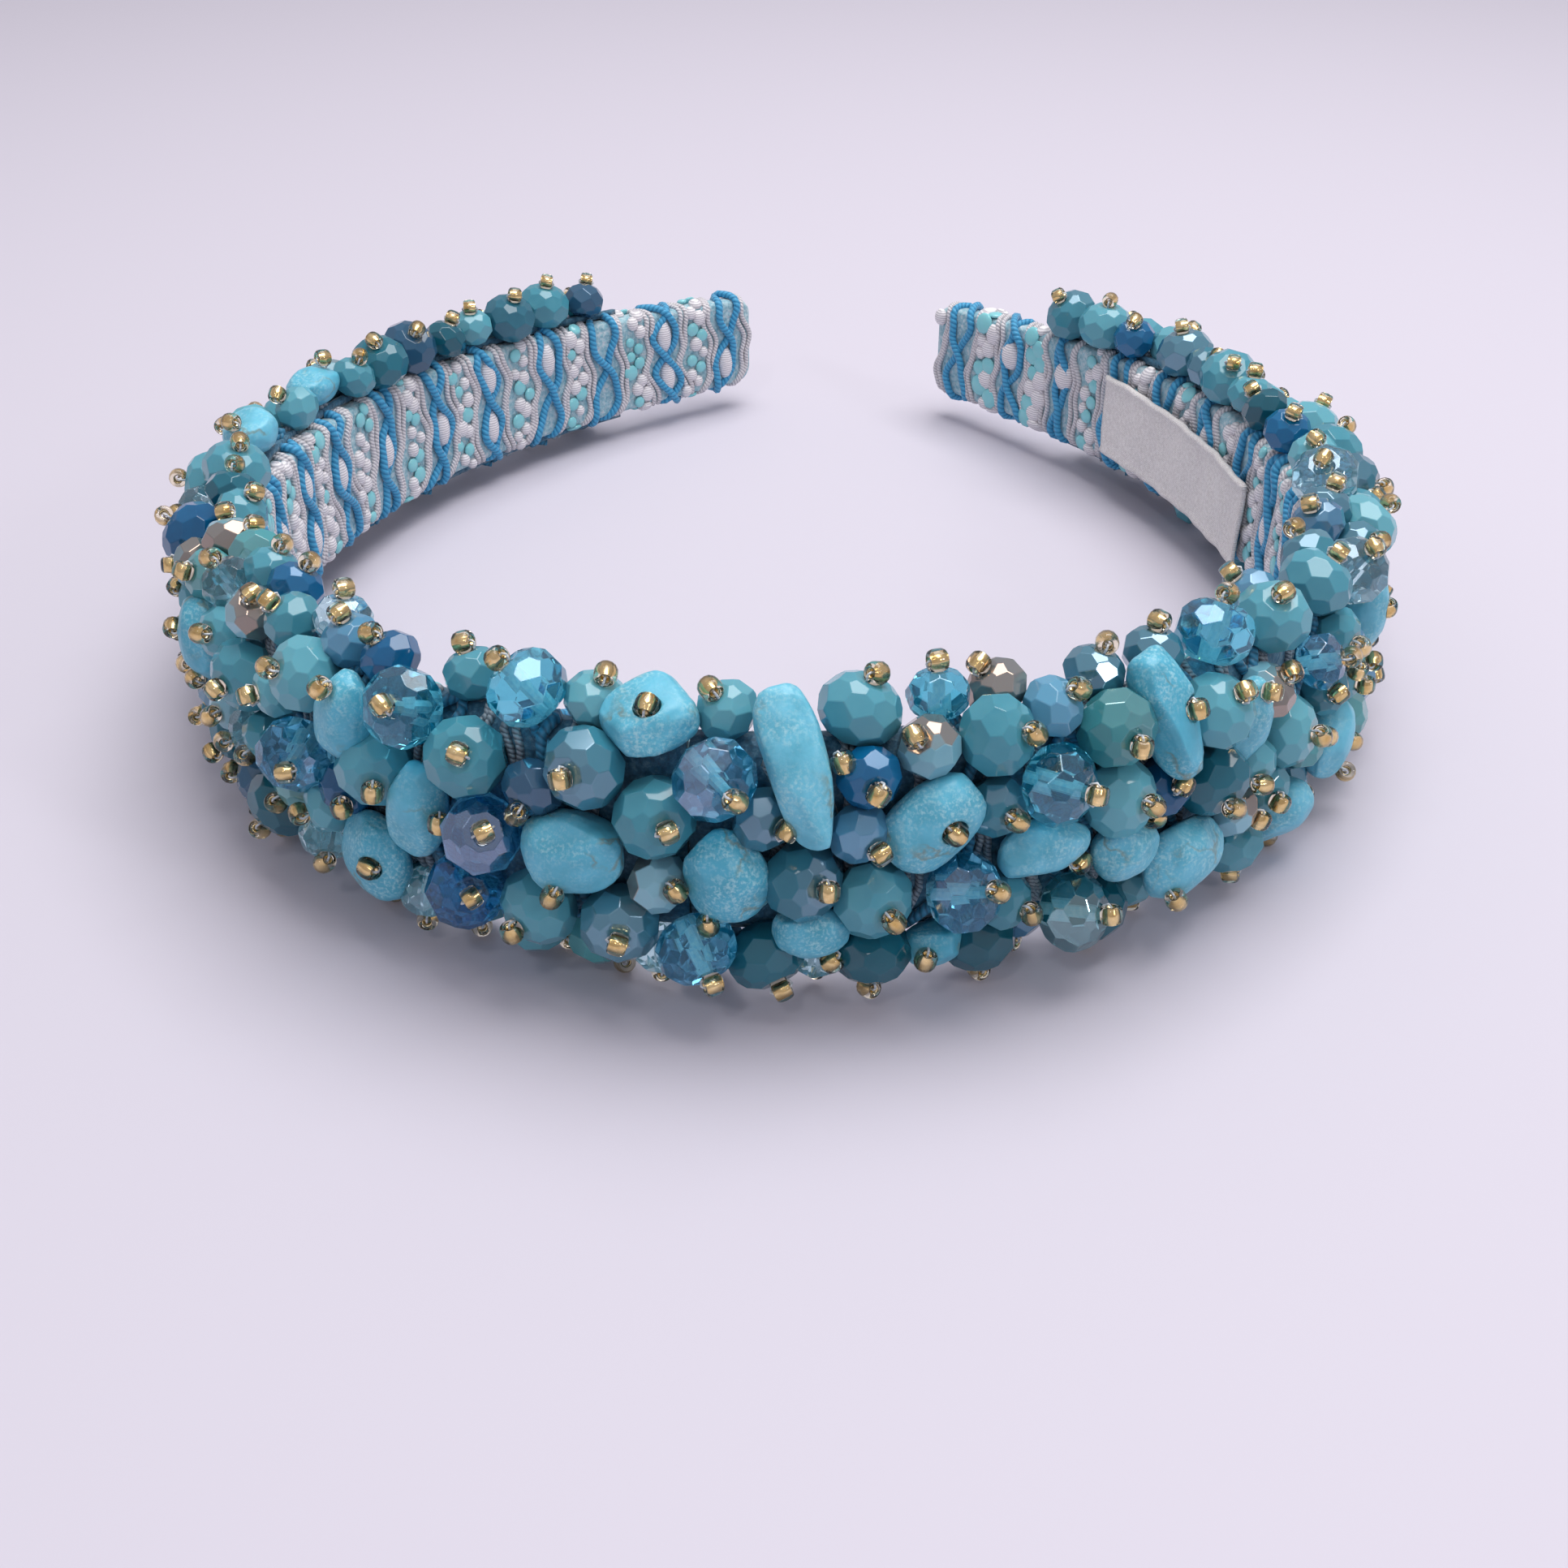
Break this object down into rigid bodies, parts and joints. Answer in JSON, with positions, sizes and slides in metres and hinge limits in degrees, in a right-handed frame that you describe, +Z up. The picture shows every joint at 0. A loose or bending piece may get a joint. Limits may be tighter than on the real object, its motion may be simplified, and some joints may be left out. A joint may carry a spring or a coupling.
{
  "type": "jeweled headband",
  "caption": "Padded, braid-covered open hoop for the head, its outer side and both edges stitched all over with cut glass beads and tumbled turquoise stones, and a cloth label inside one arm.",
  "frame": {"origin": "middle of the part's box on the surface it lies on", "axes": "+X to the wearer's side that carries the label, +Y from the crown of the hoop to its open ends, +Z up from the surface it lies on"},
  "size_m": [0.1492, 0.162, 0.0356],
  "materials": {
    "braid": "blue and silver-white cord braid, satin",
    "label_cloth": "off-white woven cloth, matt",
    "cut_bead": "opaque turquoise cut glass, polished facets",
    "tumbled_stone": "tumbled turquoise stone, satin, mottled",
    "cut_crystal": "clear blue cut glass, polished facets"
  },
  "bodies": {
    "root": {"band": "braid", "label": "label_cloth", "bead_field_left": "cut_bead", "bead_field_right": "cut_bead", "nugget_01": "tumbled_stone", "nugget_02": "tumbled_stone", "nugget_03": "tumbled_stone", "nugget_04": "tumbled_stone", "nugget_05": "tumbled_stone", "nugget_06": "tumbled_stone", "nugget_07": "tumbled_stone", "nugget_08": "tumbled_stone", "nugget_09": "tumbled_stone", "nugget_10": "tumbled_stone", "nugget_11": "tumbled_stone", "nugget_12": "tumbled_stone", "nugget_13": "tumbled_stone", "nugget_14": "tumbled_stone", "nugget_15": "tumbled_stone", "nugget_16": "tumbled_stone", "nugget_17": "tumbled_stone", "nugget_18": "tumbled_stone", "nugget_19": "tumbled_stone", "nugget_20": "tumbled_stone", "nugget_21": "tumbled_stone", "nugget_22": "tumbled_stone", "nugget_23": "tumbled_stone", "nugget_24": "tumbled_stone", "nugget_25": "tumbled_stone", "nugget_26": "tumbled_stone", "nugget_27": "tumbled_stone", "crystal_01": "cut_crystal", "crystal_02": "cut_crystal", "crystal_03": "cut_crystal", "crystal_04": "cut_crystal", "crystal_05": "cut_crystal", "crystal_06": "cut_crystal", "crystal_07": "cut_crystal", "crystal_08": "cut_crystal", "crystal_09": "cut_crystal", "crystal_10": "cut_crystal", "crystal_11": "cut_crystal", "crystal_12": "cut_crystal", "crystal_13": "cut_crystal"}
  },
  "joints": []
}
